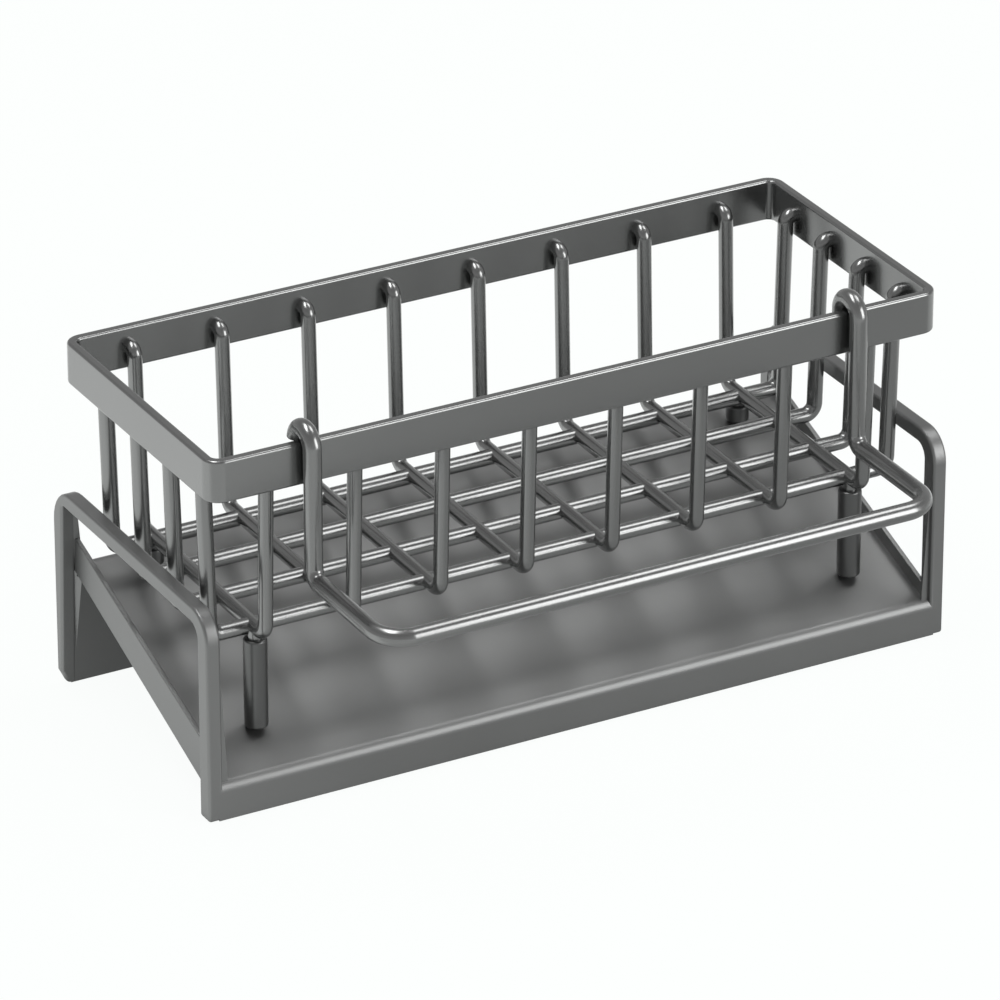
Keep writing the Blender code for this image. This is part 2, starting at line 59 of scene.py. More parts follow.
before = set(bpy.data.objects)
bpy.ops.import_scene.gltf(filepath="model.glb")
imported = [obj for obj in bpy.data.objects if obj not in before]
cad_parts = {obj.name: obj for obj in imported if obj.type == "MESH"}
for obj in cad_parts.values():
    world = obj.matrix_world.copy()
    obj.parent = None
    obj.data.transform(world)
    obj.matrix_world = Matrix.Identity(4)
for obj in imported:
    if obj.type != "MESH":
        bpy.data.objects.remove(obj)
CAD_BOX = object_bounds()


def corners_of(node):
    """Lowest corner, highest corner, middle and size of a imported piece."""
    low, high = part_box(node)
    return low, high, (low + high) / 2, high - low


RIM_LOW, RIM_HIGH, RIM_MIDDLE, RIM_SIZE = corners_of("rim_band")
TRAY_LOW, TRAY_HIGH, TRAY_MIDDLE, TRAY_SIZE = corners_of("drip_tray")
BAR_LOW, BAR_HIGH, BAR_MIDDLE, BAR_SIZE = corners_of("towel_bar")
CROSS_WIRES = [f"cross_wire_{number}" for number in range(1, 9)]
LONG_WIRES = [f"long_wire_{number}" for number in range(1, 5)]
FEET = range(1, 5)
UP = Vector((0, 0, 1))

# How fine the round shapes are drawn
TUBE_SIDES = 32
BEND_STEP = math.radians(7)
CORNER_SEGMENTS = 8
EDGE_SEGMENTS = 4
SMOOTH_ANGLE = math.radians(32)
BEND_SLACK = 0.000002
MERGE_DISTANCE = 0.00002
SELECT_REACH = 0.00005
FACING_UP = 0.9

# How the coating's grain is drawn
CLOUD_DETAIL = 4.0
SKIN_DETAIL = 2.0
SKIN_DEPTH = 0.00005
NOISE_MIDDLE = 0.5

# The photograph's view
CAMERA_PLACE = Vector((-0.92468, -1.65621, 1.00738))
CAMERA_AIM = Vector((-0.00234, 0.02102, 0.05166))
CAMERA_LENS = 273.157
CAMERA_SENSOR = 36.0
CAMERA_NEAR = 0.05

# The stage
FLOOR_SIZE = 12
FLOOR_DROP = 0.0002
FLOOR_ROUGHNESS = 0.9
SEEN_SHARE = 0.96
MIRRORED_SHARE = 0.80
# Shape of the painted pool of light and shade that the floor glows with for gloss
POOL_EDGE = 0.004
POOL_REACH = 0.150
RIGHT_POOL_START = (0.22, 0.28)
RIGHT_POOL_FRONT = (-0.19, -0.12)
FRONT_FALL = (-1.0, -0.66, 0.0)
FRONT_FALL_START = 0.04
FRONT_FALL_END = 0.22
SKY_TOP = 0.8
HIGH_PLACE = (0.66, 0.02, 1.30)
HIGH_SIZE = (0.6, 0.5)
LEFT_PLACE = (-0.30, 0.24, 1.40)
LEFT_SIZE = (0.95, 0.35)
FRONT_PLACE = (0.80, -1.22, 0.54)
FRONT_SIZE = (0.7, 1.0)


def length_property(name, description, default):
    return FloatProperty(name=name, description=description, default=default, min=0.0,
                         precision=4, unit="LENGTH")


def angle_property(name, description, degrees):
    return FloatProperty(name=name, description=description, default=math.radians(degrees),
                         subtype="ANGLE")


def colour_property(name, description, default):
    return FloatVectorProperty(name=name, description=description, default=default, size=3,
                               min=0.0, max=1.0, subtype="COLOR")


def level_property(name, description, default):
    return FloatProperty(name=name, description=description, default=default, min=0.0)


class BasketSizes(PropertyGroup):
    rim_thickness: length_property("Rim thickness", "Thickness of the flat rim band", 0.0029)
    rim_corner: length_property("Rim corner", "Outer corner radius of the rim band", 0.0050)
    rim_edge: length_property("Rim edge", "Rounding of the band's long edges", 0.0008)
    cross_diameter: length_property("Cross wire", "Diameter of the front-to-back wires", 0.0043)
    cross_height: length_property("Cross wire height", "Axis in the basket floor", 0.04845)
    cross_inset: length_property("Cross wire inset", "Rim's face to the axis at the top", 0.00575)
    cross_taper: angle_property("Cross wire lean", "Lean of their upright parts", 2.0)
    long_diameter: length_property("Long wire", "Diameter of the left-to-right wires", 0.0046)
    long_height: length_property("Long wire height", "Axis in the basket floor", 0.04800)
    long_inset: length_property("Long wire inset", "Rim's face to the axis at the top", 0.0056)
    long_taper: angle_property("Long wire lean", "Lean of their upright parts", 1.3)
    wire_top_drop: length_property("Elbow drop", "Top of the rim down to the wires' ends", 0.0058)
    elbow_radius: length_property("Elbow radius", "Bend of a wire's axis at its top", 0.0024)
    floor_bend_radius: length_property("Floor bend", "Bend of a wire's axis at the floor", 0.0036)
    weld_depth: length_property("Weld depth", "How far a wire's end goes into the band", 0.0004)
    cap_edge: length_property("Cap edge", "Rounding of the foot caps' edges", 0.0006)


class TowelBarSizes(PropertyGroup):
    diameter: length_property("Diameter", "Diameter of the rod", 0.0052)
    hook_radius: length_property("Hook radius", "Bend of the rod's axis over the rim", 0.00475)
    arm_height: length_property("Arm height", "Height of the arms and of the front bar", 0.0683)
    arm_radius: length_property("Arm bend", "Bend of the rod's axis under the leg", 0.0040)
    corner_radius: length_property("Corner bend", "Bend of the axis at a front corner", 0.0090)
    tail_length: length_property("Tail", "Straight rod behind the rim", 0.0090)
    tail_edge: length_property("Tail edge", "Rounding of the rod's two ends", 0.0010)


class TraySizes(PropertyGroup):
    sheet: length_property("Sheet", "Thickness of the floor, apron and back panel", 0.0025)
    sheet_bend: length_property("Sheet bend", "Bend of the sheet's middle", 0.0021)
    front_height: length_property("Front height", "Top of the floor at the apron", 0.0108)
    shoulder_height: length_property("Shoulder height", "Top of the floor at its back", 0.04103)
    shoulder_depth: length_property("Shoulder depth", "Back of the tray to the shoulder", 0.0088)
    back_height: length_property("Back height", "Height of the back panel's bend", 0.0330)
    frame_width: length_property("Frame width", "Width of an end frame across the tray", 0.0044)
    front_leg: length_property("Front leg", "Depth of an end frame's front leg", 0.0058)
    back_leg: length_property("Back leg", "Depth of an end frame's back leg", 0.0055)
    top_bar: length_property("Top bar", "Height of an end frame's top bar", 0.0049)
    front_radius: length_property("Front bend", "Outer radius of the frame's front bend", 0.0090)
    back_foot: length_property("Back foot", "Depth of that leg at its foot", 0.0028)
    back_radius: length_property("Back bend", "Outer radius of the frame's back bend", 0.0110)
    front_inner_radius: length_property("Front inner bend", "Radius inside the front bend", 0.0040)
    back_inner_radius: length_property("Back inner bend", "Radius inside the back bend", 0.0015)
    heel_width: length_property("Heel width", "Slope cut off the back leg's outer corner", 0.0022)
    heel_height: length_property("Heel height", "Height of that slope", 0.0044)
    frame_edge: length_property("Frame edge", "Rounding of the frames' long edges", 0.0009)
    wall_thickness: length_property("Wall", "Thickness of a sloping side wall", 0.0015)
    wall_rise: length_property("Wall rise", "Side wall above the floor", 0.0042)
    wall_front_drop: length_property("Wall front drop", "Wall below the floor's front", 0.0098)
    wall_back_drop: length_property("Wall back drop", "Wall below the floor's back", 0.0066)
    wall_edge: length_property("Wall edge", "Rounding of the side walls' edges", 0.0004)
    front_rib_height: length_property("Front rib", "Top of the rib on a front leg", 0.0490)
    front_rib_full: length_property("Front rib full", "Top of that rib's full reach", 0.0130)
    front_rib_reach: length_property("Front rib reach", "How far it stands off the frame", 0.0021)
    front_rib_thickness: length_property("Front rib depth", "Thickness of that rib", 0.0010)
    front_rib_setback: length_property("Front rib setback", "Apron's face to the rib", 0.0014)
    back_rib_top: length_property("Back rib top", "Reach of a back leg's rib at its top", 0.0005)
    back_rib_full: length_property("Back rib full", "Top of that rib's full reach", 0.0450)
    back_rib_setback: length_property("Back rib setback", "Back face to the rib", 0.0015)
    face_step: length_property("Face step", "Keeps joined faces out of one plane", 0.0002)


class Finishes(PropertyGroup):
    tray_colour: colour_property("Tray", "Grey of the drip tray", (0.226, 0.229, 0.227))
    wire_colour: colour_property("Wire", "Grey of the coated wire and band", (0.243, 0.246, 0.244))
    cap_colour: colour_property("Caps", "Grey of the foot caps", (0.130, 0.132, 0.131))
    floor_colour: colour_property("Floor", "White of the floor and backdrop", (0.982, 1.0, 0.991))
    high_light: level_property("High light", "Power of the softbox overhead", 4.0)
    left_light: level_property("Left light", "Power of the softbox over the left", 8.0)
    front_light: level_property("Front light", "Power of the tall softbox in front", 10.0)
    sky_low: level_property("Low sky", "Brightness of the backdrop near the floor", 0.57)
    sky_high: level_property("High sky", "Brightness of the room overhead", 0.36)
    # Glow of the floor seen in gloss: a painted pool of light, with painted shade where dim
    floor_lit: level_property("Lit floor", "Mirrored floor at the left and back", 1.20)
    floor_right: level_property("Right floor", "Mirrored floor far to the right", 0.85)
    floor_dim: level_property("Dim floor", "Mirrored floor in front and near the right", 0.39)


# Shared shader effect


def new_group(name, inputs, outputs):
    group = bpy.data.node_groups.new(name, "ShaderNodeTree")
    for label, kind, default in inputs:
        socket = group.interface.new_socket(label, in_out="INPUT", socket_type=kind)
        socket.default_value = default
    for label, kind in outputs:
        group.interface.new_socket(label, in_out="OUTPUT", socket_type=kind)
    return group


def coating_grain():
    """Cloudy tone, uneven gloss and a fine skin of a sprayed coating, built once."""
    name = "coating grain"
    if name in bpy.data.node_groups:
        return bpy.data.node_groups[name]
    group = new_group(
        name,
        [("Colour", "NodeSocketColor", (0.15, 0.15, 0.15, 1)),
         ("Tone Change", "NodeSocketFloat", 0.08),
         ("Roughness", "NodeSocketFloat", 0.35),
         ("Gloss Change", "NodeSocketFloat", 0.05),
         ("Cloud Scale", "NodeSocketFloat", 40.0),
         ("Skin Scale", "NodeSocketFloat", 1400.0)],
        [("Colour", "NodeSocketColor"), ("Roughness", "NodeSocketFloat"),
         ("Height", "NodeSocketFloat")])
    nodes, links = group.nodes, group.links
    given = nodes.new("NodeGroupInput")
    made = nodes.new("NodeGroupOutput")
    place = nodes.new("ShaderNodeTexCoord")

    cloud = nodes.new("ShaderNodeTexNoise")
    cloud.inputs["Detail"].default_value = CLOUD_DETAIL
    links.new(place.outputs["Object"], cloud.inputs["Vector"])
    links.new(given.outputs["Cloud Scale"], cloud.inputs["Scale"])

    skin = nodes.new("ShaderNodeTexNoise")
    skin.inputs["Detail"].default_value = SKIN_DETAIL
    links.new(place.outputs["Object"], skin.inputs["Vector"])
    links.new(given.outputs["Skin Scale"], skin.inputs["Scale"])

    centred = nodes.new("ShaderNodeMath")
    centred.operation = "SUBTRACT"
    centred.inputs[1].default_value = NOISE_MIDDLE
    links.new(cloud.outputs["Fac"], centred.inputs[0])

    tone = nodes.new("ShaderNodeMath")
    tone.operation = "MULTIPLY_ADD"
    tone.inputs[2].default_value = 1.0
    links.new(centred.outputs[0], tone.inputs[0])
    links.new(given.outputs["Tone Change"], tone.inputs[1])

    tinted = nodes.new("ShaderNodeVectorMath")
    tinted.operation = "SCALE"
    links.new(given.outputs["Colour"], tinted.inputs[0])
    links.new(tone.outputs[0], tinted.inputs["Scale"])

    gloss = nodes.new("ShaderNodeMath")
    gloss.operation = "MULTIPLY_ADD"
    links.new(centred.outputs[0], gloss.inputs[0])
    links.new(given.outputs["Gloss Change"], gloss.inputs[1])
    links.new(given.outputs["Roughness"], gloss.inputs[2])

    links.new(tinted.outputs["Vector"], made.inputs["Colour"])
    links.new(gloss.outputs[0], made.inputs["Roughness"])
    links.new(skin.outputs["Fac"], made.inputs["Height"])
    return group


def coated_material(name, colour, roughness, metallic, coat, coat_roughness, skin_strength):
    """A sprayed grey finish under a clear coat: a Principled shader fed by the coating's grain."""
    if name in bpy.data.materials:
        return bpy.data.materials[name]
    material = bpy.data.materials.new(name)
    material.use_nodes = True
    material.diffuse_color = (*colour, 1)
    nodes, links = material.node_tree.nodes, material.node_tree.links
    shader = nodes["Principled BSDF"]
    shader.inputs["Metallic"].default_value = metallic
    shader.inputs["Coat Weight"].default_value = coat
    shader.inputs["Coat Roughness"].default_value = coat_roughness
    grain = nodes.new("ShaderNodeGroup")
    grain.node_tree = coating_grain()
    grain.inputs["Colour"].default_value = (*colour, 1)
    grain.inputs["Roughness"].default_value = roughness
    bump = nodes.new("ShaderNodeBump")
    bump.inputs["Strength"].default_value = skin_strength
    bump.inputs["Distance"].default_value = SKIN_DEPTH
    links.new(grain.outputs["Colour"], shader.inputs["Base Color"])
    links.new(grain.outputs["Roughness"], shader.inputs["Roughness"])
    links.new(grain.outputs["Height"], bump.inputs["Height"])
    links.new(bump.outputs["Normal"], shader.inputs["Normal"])
    return material


def wire_coating(finishes):
    return coated_material("wire coating", finishes.wire_colour, roughness=0.26, metallic=0.97,
                           coat=0.10, coat_roughness=0.12, skin_strength=0.12)


def tray_coating(finishes):
    return coated_material("tray coating", finishes.tray_colour, roughness=0.46, metallic=0.96,
                           coat=0.10, coat_roughness=0.20, skin_strength=0.18)


def cap_rubber(finishes):
    return coated_material("cap rubber", finishes.cap_colour, roughness=0.36, metallic=0.90,
                           coat=0.10, coat_roughness=0.25, skin_strength=0.25)


# Modelling by hand, in edit mode


def deselect_everything():
    for thing in bpy.context.selected_objects:
        thing.select_set(False)


def edit(thing):
    deselect_everything()
    bpy.context.view_layer.objects.active = thing
    thing.select_set(True)
    bpy.ops.object.mode_set(mode="EDIT")


def leave_edit():
    bpy.ops.object.mode_set(mode="OBJECT")


def settle():
    """Put the active object's place, turn and scale into its mesh."""
    bpy.ops.object.transform_apply(location=True, rotation=True, scale=True)


def pick(thing, kind, test):
    """Select only the vertices, edges or faces that pass a test, given each one's element."""
    shape = bmesh.from_edit_mesh(thing.data)
    for element in (*shape.verts, *shape.edges, *shape.faces):
        element.select_set(False)
    bpy.context.tool_settings.mesh_select_mode = (kind == "VERT", kind == "EDGE", kind == "FACE")
    group = {"VERT": shape.verts, "EDGE": shape.edges, "FACE": shape.faces}[kind]
    group.ensure_lookup_table()
    for element in group:
        if test(element):
            element.select_set(True)
    shape.select_flush_mode()
    bmesh.update_edit_mesh(thing.data)


def extrude(run):
    bpy.ops.mesh.extrude_region_move(TRANSFORM_OT_translate={"value": tuple(run)})


def extrude_along(corners, radii):
    """Draw what is selected out along a path whose inner corners are rounded."""
    corners = [Vector(corner) for corner in corners]
    reached = corners[0]
    for before, corner, after, radius in zip(corners, corners[1:], corners[2:], radii):
        incoming = (corner - before).normalized()
        outgoing = (after - corner).normalized()
        turn = incoming.angle(outgoing)
        start = corner - incoming * radius * math.tan(turn / 2)
        if (start - reached).length > MERGE_DISTANCE:
            extrude(start - reached)
        centre = corner + (outgoing - incoming).normalized() * radius / math.cos(turn / 2)
        steps = max(2, round(turn / BEND_STEP))
        bpy.ops.mesh.spin(steps=steps, angle=turn, center=tuple(centre),
                          axis=tuple(outgoing.cross(incoming).normalized()))
        reached = corner + outgoing * radius * math.tan(turn / 2)
    if (corners[-1] - reached).length > MERGE_DISTANCE:
        extrude(corners[-1] - reached)


def close_and_clean():
    """Merge doubles, cap open ends and point all faces outwards."""
    bpy.ops.mesh.select_all(action="SELECT")
    bpy.ops.mesh.remove_doubles(threshold=MERGE_DISTANCE)
    bpy.ops.mesh.fill_holes(sides=0)
    bpy.ops.mesh.select_all(action="SELECT")
    bpy.ops.mesh.normals_make_consistent(inside=False)


def soften_round_ends(thing, width):
    """Round the edges of a bar's or cylinder's flat ends."""
    pick(thing, "EDGE", lambda edge: any(len(face.verts) == TUBE_SIDES
                                         for face in edge.link_faces))
    bpy.ops.mesh.bevel(offset=width, segments=EDGE_SEGMENTS, affect="EDGES")


def round_bar(name, corners, radii, diameter, end_rounding=0.0):
    """A round bar: a ring extruded along the straights and spun round the bends."""
    corners = [Vector(corner) for corner in corners]
    aim = (corners[1] - corners[0]).to_track_quat("Z", "Y").to_euler()
    bpy.ops.mesh.primitive_circle_add(vertices=TUBE_SIDES, radius=diameter / 2,
                                      location=corners[0], rotation=aim)
    bar = bpy.context.active_object
    bar.name = name
    settle()
    edit(bar)
    bpy.ops.mesh.select_all(action="SELECT")
    extrude_along(corners, radii)
    close_and_clean()
    if end_rounding:
        soften_round_ends(bar, end_rounding)
    leave_edit()
    return bar


def apply_modifier(thing, kind, **settings):
    deselect_everything()
    bpy.context.view_layer.objects.active = thing
    thing.select_set(True)
    modifier = thing.modifiers.new(kind.lower(), kind)
    for key, value in settings.items():
        setattr(modifier, key, value)
    bpy.ops.object.modifier_apply(modifier=modifier.name)


def combine(thing, other, operation, solver):
    """Cut another solid out of a solid or join it on, and remove the other."""
    apply_modifier(thing, "BOOLEAN", operation=operation, solver=solver, object=other)
    bpy.data.objects.remove(other, do_unlink=True)


def cut_out(thing, cutter):
    combine(thing, cutter, "DIFFERENCE", "EXACT")


def round_long_edges(thing, width):
    apply_modifier(thing, "BEVEL", width=width, segments=EDGE_SEGMENTS, limit_method="ANGLE",
                   angle_limit=SMOOTH_ANGLE, miter_outer="MITER_ARC")


def shade_smoothly(thing):
    deselect_everything()
    bpy.context.view_layer.objects.active = thing
    thing.select_set(True)
    bpy.ops.object.shade_smooth_by_angle(angle=SMOOTH_ANGLE)
    apply_modifier(thing, "WEIGHTED_NORMAL", keep_sharp=True)


def finish_piece(thing, name, body, node, material):
    """Name a finished piece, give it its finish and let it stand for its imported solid."""
    thing.name = name
    thing.data.name = name
    thing.data.materials.clear()
    thing.data.materials.append(material)
    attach(thing, body)
    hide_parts(node)


def copy_of(thing, shift):
    """A copy with its own mesh, moved inside the mesh so that its object stays at the origin."""
    double = thing.copy()
    double.data = thing.data.copy()
    bpy.context.scene.collection.objects.link(double)
    double.data.transform(Matrix.Translation(shift))
    return double


def drawn_outline(name, corners):
    """One point drawn from corner to corner and filled, left in edit mode."""
    corners = [Vector(corner) for corner in corners]
    bpy.ops.mesh.primitive_plane_add(size=1, location=corners[0])
    thing = bpy.context.active_object
    thing.name = name
    settle()
    edit(thing)
    bpy.ops.mesh.select_mode(type="VERT")
    bpy.ops.mesh.select_all(action="SELECT")
    bpy.ops.mesh.merge(type="CENTER")
    for before, corner in zip(corners, corners[1:]):
        extrude(corner - before)
    bpy.ops.mesh.select_all(action="SELECT")
    bpy.ops.mesh.edge_face_add()
    return thing


def near(point, place):
    return (Vector(point) - Vector(place)).length < SELECT_REACH


def round_corner(thing, place, radius):
    """Round one corner of a flat outline."""
    pick(thing, "VERT", lambda vertex: near(vertex.co, place))
    bpy.ops.mesh.bevel(offset=radius, offset_type="OFFSET", segments=CORNER_SEGMENTS,
                       affect="VERTICES")


def thicken_outline(run):
    """Draw a flat outline out to a solid and point its faces outwards."""
    bpy.ops.mesh.select_all(action="SELECT")
    extrude(run)
    bpy.ops.mesh.select_all(action="SELECT")
    bpy.ops.mesh.normals_make_consistent(inside=False)
    leave_edit()


# Basket


def rim_ring(name, inset, radius, height, low):
    """A rounded rectangle inside the rim's outer face, drawn up to a block."""
    left, right = RIM_LOW.x + inset, RIM_HIGH.x - inset
    front, back = RIM_LOW.y + inset, RIM_HIGH.y - inset
    corners = [(left, front, low), (right, front, low), (right, back, low), (left, back, low)]
    block = drawn_outline(name, corners)
    for corner in corners:
        round_corner(block, corner, radius)
    thicken_outline((0, 0, height))
    return block


class SINKORG_OT_rim_band(Operator):
    """Bend the flat rim band of the basket into its ring"""
    bl_idname = "sink_organizer.rim_band"
    bl_label = "Rim Band"

    def execute(self, context):
        sizes = context.scene.sink_basket
        band = rim_ring("rim_band_coated", 0.0, sizes.rim_corner, RIM_SIZE.z, RIM_LOW.z)
        inner = rim_ring("rim_inside", sizes.rim_thickness, sizes.rim_corner - sizes.rim_thickness,
                         RIM_SIZE.z * 2, RIM_LOW.z - RIM_SIZE.z / 2)
        cut_out(band, inner)
        round_long_edges(band, sizes.rim_edge)
        shade_smoothly(band)
        finish_piece(band, "rim_band_coated", "basket", "rim_band",
                     wire_coating(context.scene.sink_finishes))
        return {"FINISHED"}


def bend_wires(context, nodes, along, floor, inset, taper, diameter):
    """Bend one layer's wires alike: end in the band, elbow, down, under, up to the other side."""
    sizes = context.scene.sink_basket
    coating = wire_coating(context.scene.sink_finishes)
    middles = [corners_of(node)[2] for node in nodes]
    top = RIM_HIGH.z - sizes.wire_top_drop
    reach = (RIM_SIZE * along).length / 2
    axis_top = reach - inset
    axis_floor = axis_top - (top - floor) * math.tan(taper)
    face = reach - sizes.rim_thickness + sizes.weld_depth
    half = [(face, top), (axis_top, top), (axis_floor, floor)]
    across = Vector((1, 1, 0)) - along
    level = RIM_MIDDLE * along + middles[0] * across
    corners = [level - along * distance + UP * height for distance, height in half]
    corners += [level + along * distance + UP * height for distance, height in reversed(half)]
    elbow = min(sizes.elbow_radius, face - axis_top - MERGE_DISTANCE)
    radii = [elbow, sizes.floor_bend_radius, sizes.floor_bend_radius, elbow]
    first = round_bar("wire", corners, radii, diameter)
    shade_smoothly(first)
    for node, middle in zip(nodes, middles):
        wire = copy_of(first, (middle - middles[0]) * across) if node != nodes[0] else first
        finish_piece(wire, f"{node}_coated", "basket", node, coating)


class SINKORG_OT_cross_wires(Operator):
    """Bend the wires that run from the front of the rim down, under and up to its back"""
    bl_idname = "sink_organizer.cross_wires"
    bl_label = "Cross Wires"

    def execute(self, context):
        sizes = context.scene.sink_basket
        bend_wires(context, CROSS_WIRES, Vector((0, 1, 0)), sizes.cross_height,
                   sizes.cross_inset, sizes.cross_taper, sizes.cross_diameter)
        return {"FINISHED"}


class SINKORG_OT_long_wires(Operator):
    """Bend the wires that run from the left of the rim down, under and up to its right"""
    bl_idname = "sink_organizer.long_wires"
    bl_label = "Long Wires"

    def execute(self, context):
        sizes = context.scene.sink_basket
        bend_wires(context, LONG_WIRES, Vector((1, 0, 0)), sizes.long_height,
                   sizes.long_inset, sizes.long_taper, sizes.long_diameter)
        return {"FINISHED"}


def round_piece(name, low, high, diameter, edge):
    """A cylinder primitive with its two round edges softened."""
    middle = Vector(((low.x + high.x) / 2, (low.y + high.y) / 2, (low.z + high.z) / 2))
    bpy.ops.mesh.primitive_cylinder_add(vertices=TUBE_SIDES, radius=diameter / 2,
                                        depth=high.z - low.z, location=middle)
    thing = bpy.context.active_object
    thing.name = name
    settle()
    edit(thing)
    soften_round_ends(thing, edge)
    leave_edit()
    return thing


def bore_out(thing, top, bore_diameter, depth):
    """Inset the top face to a bore's size and draw it down."""
    edit(thing)
    pick(thing, "FACE", lambda face: (face.normal.z > FACING_UP
                                      and abs(face.calc_center_median().z - top) < SELECT_REACH
                                      and len(face.verts) == TUBE_SIDES))
    shape = bmesh.from_edit_mesh(thing.data)
    face = next(face for face in shape.faces if face.select)
    radius = max((vertex.co - face.calc_center_median()).length for vertex in face.verts)
    bpy.ops.mesh.inset(thickness=radius - bore_diameter / 2)
    extrude((0, 0, -depth))
    leave_edit()


class SINKORG_OT_feet(Operator):
    """Turn the foot pins under the basket and the soft caps pushed on them"""
    bl_idname = "sink_organizer.feet"
    bl_label = "Feet"

    def execute(self, context):
        sizes = context.scene.sink_basket
        finishes = context.scene.sink_finishes
        for number in FEET:
            pin_low, pin_high, _, pin_size = corners_of(f"foot_pin_{number}")
            weld_top = Vector((pin_high.x, pin_high.y, sizes.cross_height))
            pin = round_piece("pin", pin_low, weld_top, pin_size.x, sizes.cap_edge / 2)
            shade_smoothly(pin)
            finish_piece(pin, f"foot_pin_{number}_coated", "basket", f"foot_pin_{number}",
                         wire_coating(finishes))
            low, high, _, size = corners_of(f"foot_cap_{number}")
            cap = round_piece("cap", low, high, size.x, sizes.cap_edge)
            bore = pin_size.x + SELECT_REACH
            bore_out(cap, high.z, bore, high.z - pin_low.z + MERGE_DISTANCE)
            shade_smoothly(cap)
            finish_piece(cap, f"foot_cap_{number}_soft", "basket", f"foot_cap_{number}",
                         cap_rubber(finishes))
        return {"FINISHED"}


# Towel bar


class SINKORG_OT_towel_bar(Operator):
    """Bend the towel bar's rod: tail, hook, leg, arm, front bar and back again"""
    bl_idname = "sink_organizer.towel_bar"
    bl_label = "Towel Bar"

    def execute(self, context):
        sizes = context.scene.sink_towel_bar
        radius = sizes.diameter / 2
        side = BAR_SIZE.x / 2 - radius
        tail = BAR_HIGH.y - radius
        leg = tail - 2 * sizes.hook_radius
        front = BAR_LOW.y + radius
        crest = BAR_HIGH.z - radius
        tail_end = crest - sizes.hook_radius - sizes.tail_length
        half = [(tail, tail_end), (tail, crest), (leg, crest), (leg, sizes.arm_height),
                (front, sizes.arm_height)]
        corners = [(BAR_MIDDLE.x - side, y, z) for y, z in half]
        corners += [(BAR_MIDDLE.x + side, y, z) for y, z in reversed(half)]
        bend = sizes.hook_radius - BEND_SLACK
        half_radii = [bend, bend, sizes.arm_radius, sizes.corner_radius]
        bar = round_bar("towel_bar_coated", corners, half_radii + half_radii[::-1],
                        sizes.diameter, sizes.tail_edge)
        shade_smoothly(bar)
        finish_piece(bar, "towel_bar_coated", "towel_rail", "towel_bar",
                     wire_coating(context.scene.sink_finishes))
        return {"FINISHED"}


# Drip tray


def floor_height(sizes, y):
    """Top of the sloping floor at a depth."""
    run = TRAY_SIZE.y - sizes.shoulder_depth
    rise = sizes.shoulder_height - sizes.front_height
    return sizes.front_height + (y - TRAY_LOW.y) * rise / run


def bent_sheet(sizes):
    """Apron, sloping floor, shoulder and back panel, drawn from one edge and thickened."""
    half = sizes.sheet / 2
    slope = math.atan2(sizes.shoulder_height - sizes.front_height,
                       TRAY_SIZE.y - sizes.shoulder_depth)
    below = half / math.cos(slope)
    front = TRAY_LOW.y + half
    shoulder = TRAY_HIGH.y - sizes.shoulder_depth
    back = TRAY_HIGH.y - half
    corners = [
        (TRAY_MIDDLE.x, front, TRAY_LOW.z),
        (TRAY_MIDDLE.x, front, floor_height(sizes, front) - below),
        (TRAY_MIDDLE.x, shoulder, floor_height(sizes, shoulder) - below),
        (TRAY_MIDDLE.x, back, sizes.back_height),
        (TRAY_MIDDLE.x, back, TRAY_LOW.z),
    ]
    width = TRAY_SIZE.x - 2 * (sizes.heel_width + sizes.frame_edge)
    bpy.ops.mesh.primitive_plane_add(size=width, location=corners[0])
    sheet = bpy.context.active_object
    sheet.name = "bent_sheet"
    settle()
    edit(sheet)
    pick(sheet, "VERT", lambda vertex: vertex.co.y > front)
    bpy.ops.mesh.delete(type="VERT")
    bpy.ops.mesh.select_all(action="SELECT")
    bpy.ops.transform.translate(value=(0, width / 2, 0))
    extrude_along(corners, [sizes.sheet_bend] * (len(corners) - 2))
    bpy.ops.mesh.select_all(action="SELECT")
    bpy.ops.mesh.normals_make_consistent(inside=False)
    leave_edit()
    apply_modifier(sheet, "SOLIDIFY", thickness=sizes.sheet, offset=0.0, use_even_offset=True)
    return sheet


def side_block(name, x, thickness, outline, radii):
    """An outline in side view, given as depths and heights, drawn out along X."""
    corners = [(x - thickness / 2, y, z) for y, z in outline]
    block = drawn_outline(name, corners)
    for corner, radius in zip(corners, radii):
        if radius:
            round_corner(block, corner, radius)
    thicken_outline((thickness, 0, 0))
    return block


def front_block(name, side, outline, front, back):
    """An outline in front view, given as insets from the tray's side and heights, drawn back."""
    corners = [(TRAY_MIDDLE.x + side * (TRAY_SIZE.x / 2 - inset), front, z)
               for inset, z in outline]
    block = drawn_outline(name, corners)
    thicken_outline((0, back - front, 0))
    return block


def wall_middle(sizes):
    """Inset of a side wall's middle from the tray's side; the wall goes a step into the frame."""
    return sizes.frame_width - sizes.face_step + sizes.wall_thickness / 2


def floor_trim(sizes, side):
    """Cutter that stops the floor inside the side wall, between the legs of one end frame."""
    front = TRAY_LOW.y + sizes.front_leg / 2
    back = TRAY_HIGH.y - sizes.sheet - sizes.face_step
    below, above = TRAY_LOW.z - sizes.sheet, TRAY_HIGH.z + sizes.sheet
    inset = wall_middle(sizes)
    outline = [(-inset, below), (-inset, above), (inset, above), (inset, below)]
    return front_block("floor_trim", side, outline, front, back)


